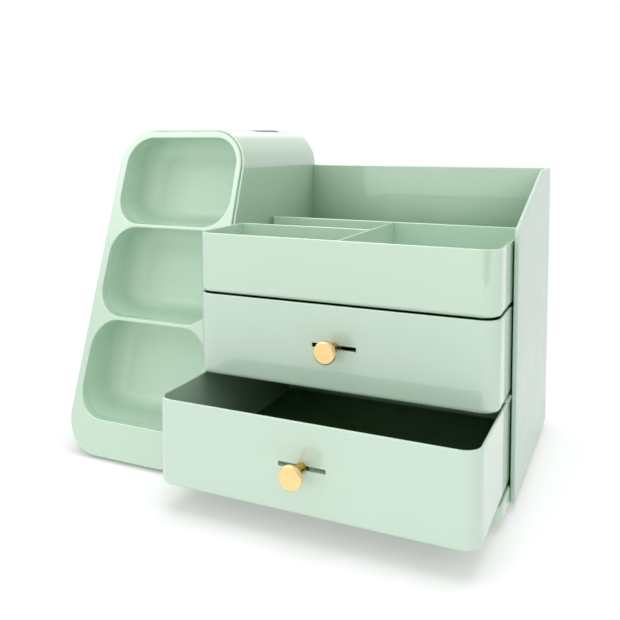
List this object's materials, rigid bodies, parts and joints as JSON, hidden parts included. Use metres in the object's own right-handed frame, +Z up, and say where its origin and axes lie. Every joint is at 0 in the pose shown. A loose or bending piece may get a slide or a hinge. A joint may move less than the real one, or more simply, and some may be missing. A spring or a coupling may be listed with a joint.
{
  "type": "brush holder with drawers",
  "caption": "Desktop vanity organiser: leaning cubby tower with brush slots in its top, beside sliding drawers with round knobs, an open divided tray and a raised back and side wall.",
  "frame": {"origin": "on the table, below the middle of the organiser's bounding box as it stands at rest with the lower drawer part open", "axes": "+Z up, +X to the right as seen from the front, +Y from the drawer fronts to the back"},
  "size_m": [0.346, 0.282, 0.2592],
  "materials": {
    "shell_plastic": "smooth moulded plastic, mint green, satin gloss",
    "tray_plastic": "smooth moulded plastic, mint green, satin gloss",
    "drawer_plastic": "smooth moulded plastic, mint green, satin gloss",
    "cubby_plastic": "smooth moulded plastic, mint green, glossier inside",
    "knob_brass": "satin turned brass",
    "screw_steel": "zinc-plated steel",
    "foot_rubber": "matt grey rubber"
  },
  "bodies": {
    "organiser": {"base_plate": "shell_plastic", "drawer_shelf": "shell_plastic", "right_side_panel": "shell_plastic", "back_panel": "shell_plastic", "top_tray": "tray_plastic", "rear_divider": "tray_plastic", "centre_divider": "tray_plastic", "left_divider": "tray_plastic", "tower_shell": "shell_plastic", "tower_bezel": "shell_plastic", "bottom_cubby": "cubby_plastic", "middle_cubby": "cubby_plastic", "top_cubby": "cubby_plastic", "brush_cup": "cubby_plastic", "tower_back_cover": "shell_plastic", "cabinet_feet": "foot_rubber", "tower_feet": "foot_rubber", "back_screws": "screw_steel", "joining_screws": "screw_steel", "cover_screws": "screw_steel"},
    "upper_drawer_set": {"upper_drawer": "drawer_plastic", "upper_knob": "knob_brass", "upper_knob_screw": "screw_steel", "upper_knob_washer": "screw_steel"},
    "lower_drawer_set": {"lower_drawer": "drawer_plastic", "lower_knob": "knob_brass", "lower_knob_screw": "screw_steel", "lower_knob_washer": "screw_steel"}
  },
  "joints": [
    {"name": "upper_drawer_slide", "type": "slide", "parent": "organiser", "child": "upper_drawer_set", "axis": [0, -1, 0], "range_m": [0, 0.126]},
    {"name": "lower_drawer_slide", "type": "slide", "parent": "organiser", "child": "lower_drawer_set", "axis": [0, -1, 0], "range_m": [-0.051, 0.075]}
  ]
}
